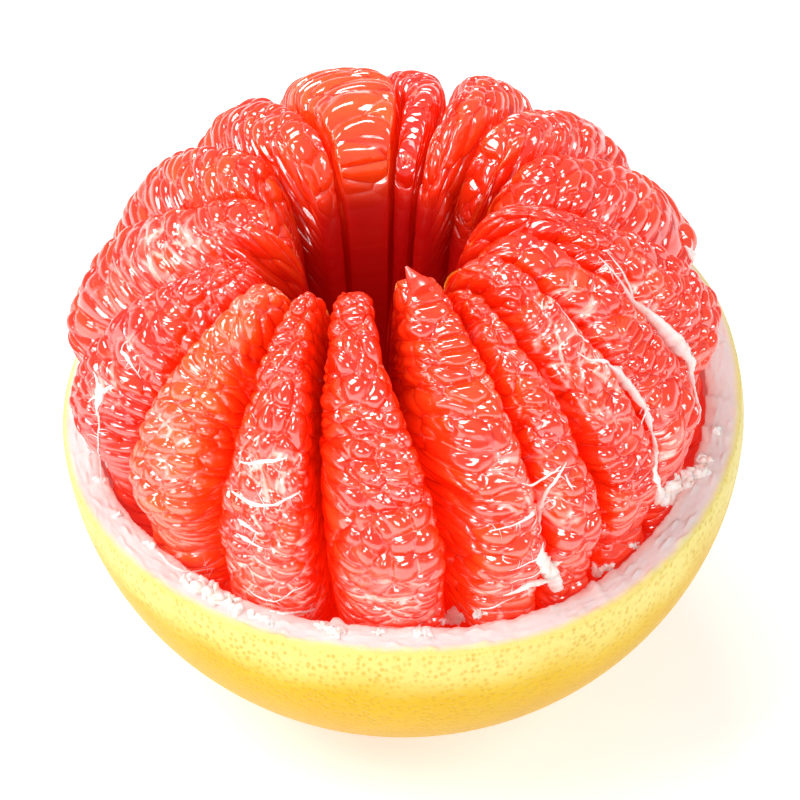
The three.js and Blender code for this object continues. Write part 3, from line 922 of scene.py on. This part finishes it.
def makeRibbonTree(material):
    # a tube along each path, flattened onto the surface, with ragged edges
    net, entry = groupTree("ribbons", ribbonShape)
    given = lambda name: net.output(entry, name)
    curve = net.value("GeometryNodeMeshToCurve", {}, {"Mesh": given("Geometry")})
    profile = net.value("GeometryNodeCurvePrimitiveCircle", {}, {
        "Resolution": given("Sides"), "Radius": 1.0})
    tube = net.value("GeometryNodeCurveToMesh", {}, {
        "Curve": curve, "Profile Curve": profile, "Scale": net.named("halfWidth"), "Fill Caps": True})
    place, middle = net.value("GeometryNodeInputPosition"), net.named("pathPlace", "FLOAT_VECTOR")
    normal = net.named("pathNormal", "FLOAT_VECTOR")
    fromMiddle = place - middle
    outwards = net.dot(fromMiddle, normal)
    sideways = fromMiddle - net.scaled(normal, outwards)
    rough = (net.grain(place, 900.0, 2.0) - 0.5) * 2.0 + (net.grain(place, 2600.0, 1.0) - 0.5)
    flatter = net.scaled(normal, outwards * (given("Flatness") - 1.0))
    offset = flatter + net.scaled(sideways, rough * given("Ragged"))
    moved = net.value("GeometryNodeSetPosition", {}, {"Geometry": tube, "Offset": offset})
    return finishGroup(net, moved, material)


def makeCrumbTree(material):
    # small torn lumps on points, each of its own size and turn
    net, entry = groupTree("crumbs", crumbShape)
    given = lambda name: net.output(entry, name)
    lump = net.value("GeometryNodeMeshIcoSphere", {}, {"Radius": 1.0, "Subdivisions": given("Detail")})
    chance = {"data_type": "FLOAT_VECTOR"}
    turn = net.value("FunctionNodeRandomValue", chance, {"Max": (6.28, 6.28, 6.28)})
    stretch = net.value("FunctionNodeRandomValue", chance, {
        "Min": (0.7, 0.45, 0.3), "Max": (1.5, 0.8, 0.6), "Seed": 5})
    lumps = net.value("GeometryNodeInstanceOnPoints", {}, {
        "Points": given("Geometry"), "Instance": lump, "Rotation": turn,
        "Scale": net.scaled(stretch, net.named("halfWidth"))})
    whole = net.value("GeometryNodeRealizeInstances", {}, {"Geometry": lumps})
    place, normal = net.value("GeometryNodeInputPosition"), net.value("GeometryNodeInputNormal")
    rough = (net.grain(place, 900.0, 3.0) - 0.5) * given("Rough") * 0.006
    offset = net.scaled(normal, rough)
    moved = net.value("GeometryNodeSetPosition", {}, {"Geometry": whole, "Offset": offset})
    return finishGroup(net, moved, material)


def layCrumbs(surface):
    draw = random.Random(clinging["seed"] + 1)
    places, sizes = [], []
    for across, down, size in tornPlaces:
        for _ in range(clinging["crumbs"]):
            spread = clinging["spread"] * size / pixelSize
            aside, lower = draw.uniform(-spread, spread), draw.uniform(-spread, spread) / 3
            place, _ = surface.under(across + aside, down + lower)
            found, normal = surface.near(place)
            places.append(tuple(found - normal * size * clinging["sunk"] * millimetre))
            sizes.append(size * draw.uniform(0.6, 1.6) * millimetre)
    mesh = bpy.data.meshes.new("torn_pith")
    mesh.from_pydata(places, [], [])
    setAttribute(mesh, "halfWidth", sizes)
    return mesh


membraneFinish = {
    "white": (0.93, 0.87, 0.84), "pink": (0.93, 0.70, 0.62), "roughness": 0.55,
    # painted glow, as of light through the thin white skin
    "paintedGlow": (1.0, 0.78, 0.72, 1), "paintedGlowStrength": 0.1, "bump": 0.4, "bumpDepth": 0.0003,
    "softness": 0.4, "spread": (1.0, 0.4, 0.3), "depth": 0.001,
}


def makeMembrane():
    material, net = newMaterial("membrane and pith")
    place = net.value("ShaderNodeTexCoord", {}, {}, "Object")
    whiter = net.step(0.3, 0.55, net.grain(place, 420.0, 3.0))
    grain = net.grain(place, 1500.0, 3.0)
    finishMaterial(net, net.fleshy({
        "Base Color": net.blend(whiter, membraneFinish["pink"], membraneFinish["white"]),
        "Roughness": membraneFinish["roughness"],
        "Normal": net.bump(grain, membraneFinish["bump"], membraneFinish["bumpDepth"]),
        "Subsurface Weight": membraneFinish["softness"], "Subsurface Radius": membraneFinish["spread"],
        "Subsurface Scale": membraneFinish["depth"],
        # painted glow
        "Emission Color": membraneFinish["paintedGlow"], "Emission Strength": membraneFinish["paintedGlowStrength"]}))
    return material


def setVeils(objects, surface):
    # how thickly each point of the segments is veiled with threads
    centres = [(surface.under(x, y)[0], radius * millimetre, strength) for x, y, radius, strength in veils]
    for obj in objects:
        points = pointsOf(obj.data)
        veil = np.zeros(len(points))
        for place, radius, strength in centres:
            if place:
                away = np.linalg.norm(points - np.array(place), axis=1)
                veil = np.maximum(veil, strength * np.exp(-(away / radius) ** 2))
        setAttribute(obj.data, "veil", veil)


segments = [piece for piece, _, slot in pieces.values() if slot == "flesh"]
surface = Surface(segments + [peel])
setVeils(segments, surface)
whiteSkin = makeMembrane()
membrane = addObject("membrane", layStrands(surface))
shapeByNodes(membrane, makeRibbonTree(whiteSkin), ribbonShape)
tornPith = addObject("torn_pith", layCrumbs(surface))
shapeByNodes(tornPith, makeCrumbTree(whiteSkin), crumbShape)
print("membrane and torn pith laid:", len(membrane.data.polygons) + len(tornPith.data.polygons), "faces")


# the pointed sac on the tip of the front right segment

tipForm = {
    "places": ((424, 292), (417, 284)),  # in the photograph
    "left": 10, "up": 16,  # pixels from the second place to the point
    "halfWidths": [0.0027, 0.0024, 0.0003],
    "sac": (3.3, 1.2, 0.4), "tint": 0.45, "calm": 1.0,  # it is all one sac
    "shape": {"Sides": 24.0, "Flatness": 0.9, "Ragged": 0.05},
}
tipPath = Paths(surface)
tipPlaces = [surface.under(x, y)[0] for x, y in tipForm["places"]]
towardsTip = surface.up * tipForm["up"] - Vector((1, 0, 0)) * tipForm["left"]
tipPath.lay([*tipPlaces, tipPlaces[1] + towardsTip * pixelSize * millimetre], tipForm["halfWidths"])
tipMesh = tipPath.mesh("tip_sac")
tipCount = len(tipMesh.vertices)
setAttribute(tipMesh, "sacCoord", [tipForm["sac"]] * tipCount, "FLOAT_VECTOR")
setAttribute(tipMesh, "tint", [tipForm["tint"]] * tipCount)
setAttribute(tipMesh, "calm", [tipForm["calm"]] * tipCount)
tipSac = addObject("tip_sac", tipMesh)
shapeByNodes(tipSac, makeRibbonTree(pulp), tipForm["shape"])
print("tip shaped:", len(tipSac.data.polygons), "faces")


# handing the pieces to the frame

for piece, node, slot in pieces.values():
    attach(piece, "root")
    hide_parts(node)
for piece, slot in ((membrane, "peel"), (tornPith, "peel"), (tipSac, "flesh")):
    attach(piece, "root")


# studio

studio = {
    "sky": 0.27, "floorHalf": 20.0, "floorColour": (0.82, 0.82, 0.82, 1), "floorGlow": 0.42,
    # place in metres, size in metres and watts
    "lights": {
        "key": ((-0.55, -0.25, 0.90), (0.50, 0.50), 7.0),
        "side": ((0.75, -0.30, 0.80), (0.32, 0.50), 3.3),
        "top": ((-0.12, 0.42, 1.00), (0.46, 0.30), 4.2),
        "front": ((-0.10, -0.95, 0.55), (0.50, 0.28), 3.0),
        "left": ((-0.90, -0.50, 0.45), (0.40, 0.28), 1.3),
    },
}
middle = Vector((0, 0, peelForm["middleHeight"] * millimetre))


def addCamera():
    data = bpy.data.cameras.new("camera")
    data.lens = view["lens"]
    data.sensor_width = view["sensor"]
    data.shift_x, data.shift_y = view["shiftX"], view["shiftY"]
    camera = addObject("camera", data)
    tilt = math.radians(view["elevation"])
    camera.location = middle + Vector((0, -math.cos(tilt), math.sin(tilt))) * view["distance"]
    camera.rotation_euler = (math.pi / 2 - tilt, 0, 0)
    bpy.context.scene.camera = camera


def addLight(name, place, size, power):
    data = bpy.data.lights.new(name, "AREA")
    data.shape = "RECTANGLE"
    data.size, data.size_y = size
    data.energy = power
    light = addObject(name, data)
    light.location = place
    light.rotation_euler = (middle - Vector(place)).to_track_quat("-Z", "Y").to_euler()


def addFloor():
    far = studio["floorHalf"]
    mesh = bpy.data.meshes.new("floor")
    mesh.from_pydata([(-far, -far, 0), (far, -far, 0), (far, far, 0), (-far, far, 0)], [], [(0, 1, 2, 3)])
    floor = addObject("floor", mesh)
    material, net = newMaterial("pale floor")
    finishMaterial(net, net.node("ShaderNodeBsdfPrincipled", {}, {
        "Base Color": studio["floorColour"], "Roughness": 0.7, "Specular IOR Level": 0.2,
        "Emission Color": (1, 1, 1, 1), "Emission Strength": studio["floorGlow"]}))
    mesh.materials.append(material)


def addSky():
    world = bpy.data.worlds.new("studio")
    world.use_nodes = True
    bpy.context.scene.world = world
    net = Net(world.node_tree)
    sky = net.value("ShaderNodeBackground", {}, {"Color": (1, 1, 1, 1), "Strength": studio["sky"]})
    net.feed(net.node("ShaderNodeOutputWorld").inputs["Surface"], sky)


addCamera()
addFloor()
for name, (place, size, power) in studio["lights"].items():
    addLight(name, place, size, power)
addSky()
bpy.context.scene.view_settings.view_transform = "Standard"
print("studio set")

bpy.context.view_layer.update()
